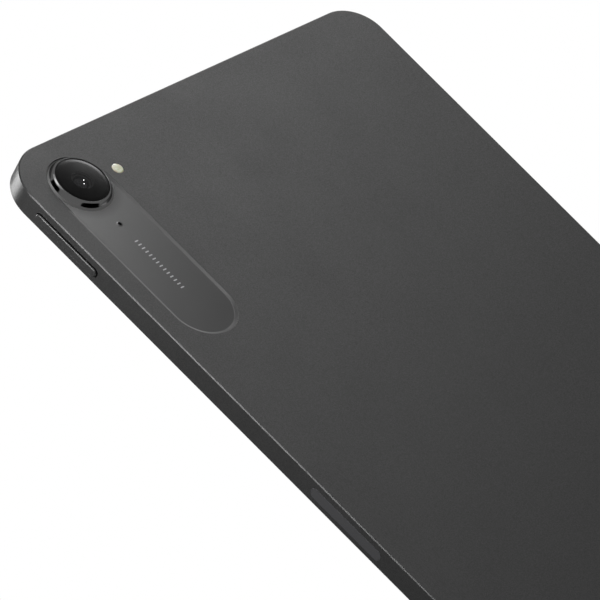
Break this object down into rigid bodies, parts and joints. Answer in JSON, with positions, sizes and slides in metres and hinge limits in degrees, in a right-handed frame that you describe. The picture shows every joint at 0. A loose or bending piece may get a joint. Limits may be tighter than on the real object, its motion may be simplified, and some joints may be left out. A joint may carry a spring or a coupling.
{
  "type": "tablet computer",
  "caption": "Flat tablet with rounded corners, metal back, round raised camera over a pill-shaped panel, long volume key and glass front.",
  "frame": {"origin": "middle of the footprint, on the outer face of the display glass", "axes": "+X across the short side, away from the volume rocker's wall; +Y along the length, towards the camera end; +Z out of the back"},
  "size_m": [0.1666, 0.2552, 0.0092],
  "materials": {
    "housing": "fine bead-blasted anodised, dark grey",
    "panel": "satin, dark grey",
    "ring": "polished, dark tint",
    "key": "satin anodised, dark grey",
    "lens_glass": "polished, nearly black",
    "screen_glass": "polished, black",
    "display_cell": "smooth, black",
    "backlight": "bright sheet",
    "black_plastic": "fine moulded texture",
    "window": "satin, dark grey",
    "phosphor": "clear resin over yellow phosphor",
    "steel": "pressed sheet and turned steel",
    "circuit_board": "green solder mask",
    "flex": "amber polyimide film",
    "battery": "black laminate pouch",
    "gasket": "black adhesive foam",
    "graphite": "graphite sheet",
    "speaker_mesh": "fine woven mesh",
    "magnet": "nickel-plated",
    "coil": "copper winding"
  },
  "bodies": {
    "tablet": {"accent_panel": "panel", "antenna_cable": "black_plastic", "battery_cell_left": "battery", "battery_cell_right": "battery", "battery_flex_cable": "flex", "battery_protection_board": "circuit_board", "board_link_cable": "flex", "board_screw_left": "steel", "board_screw_middle": "steel", "board_screw_right": "steel", "bottom_microphone": "steel", "camera_baffle": "black_plastic", "camera_cover_glass": "lens_glass", "camera_focus_motor": "black_plastic", "camera_ring": "ring", "camera_sensor_board": "circuit_board", "card_reader": "steel", "display_backlight": "backlight", "display_cover_glass": "screen_glass", "display_flex_cable": "flex", "display_gasket": "gasket", "display_panel": "display_cell", "flash_led": "phosphor", "flash_lens": "phosphor", "front_camera": "black_plastic", "heat_spreader": "graphite", "main_board": "circuit_board", "panel_antenna": "flex", "power_shield": "steel", "power_switch": "steel", "power_switch_board": "flex", "processor": "black_plastic", "processor_shield": "steel", "rear_housing": "housing", "rear_microphone": "steel", "speaker_bottom_left": "black_plastic", "speaker_bottom_right": "black_plastic", "speaker_mesh_bottom_left": "speaker_mesh", "speaker_mesh_bottom_right": "speaker_mesh", "speaker_mesh_top_left": "speaker_mesh", "speaker_mesh_top_right": "speaker_mesh", "speaker_top_left": "black_plastic", "speaker_top_right": "black_plastic", "stylus_charging_coil": "coil", "stylus_charging_window": "window", "stylus_magnet_lower": "magnet", "stylus_magnet_upper": "magnet", "usb_board": "circuit_board", "usb_c_port": "steel", "usb_screw_left": "steel", "usb_screw_right": "steel", "volume_down_switch": "steel", "volume_switch_board": "flex", "volume_up_switch": "steel"},
    "rocker": {"volume_rocker": "key"},
    "power_key": {"power_button": "key"},
    "focus_unit": {"camera_lens_barrel": "black_plastic", "camera_lens_element": "lens_glass"},
    "tray": {"card_tray": "key"}
  },
  "joints": [
    {"name": "volume_rocker_tilt", "type": "hinge", "parent": "tablet", "child": "rocker", "pos_m": [-0.083, 0.094, 0.0033], "axis": [0, 0, 1], "range_deg": [-1.2, 1.2]},
    {"name": "power_button_press", "type": "slide", "parent": "tablet", "child": "power_key", "axis": [0, -1, 0], "range_m": [0, 0.00025]},
    {"name": "camera_focus", "type": "slide", "parent": "tablet", "child": "focus_unit", "axis": [0, 0, 1], "range_m": [0, 0.0003]},
    {"name": "card_tray_slide", "type": "slide", "parent": "tablet", "child": "tray", "axis": [1, 0, 0], "range_m": [0, 0.0186]}
  ]
}
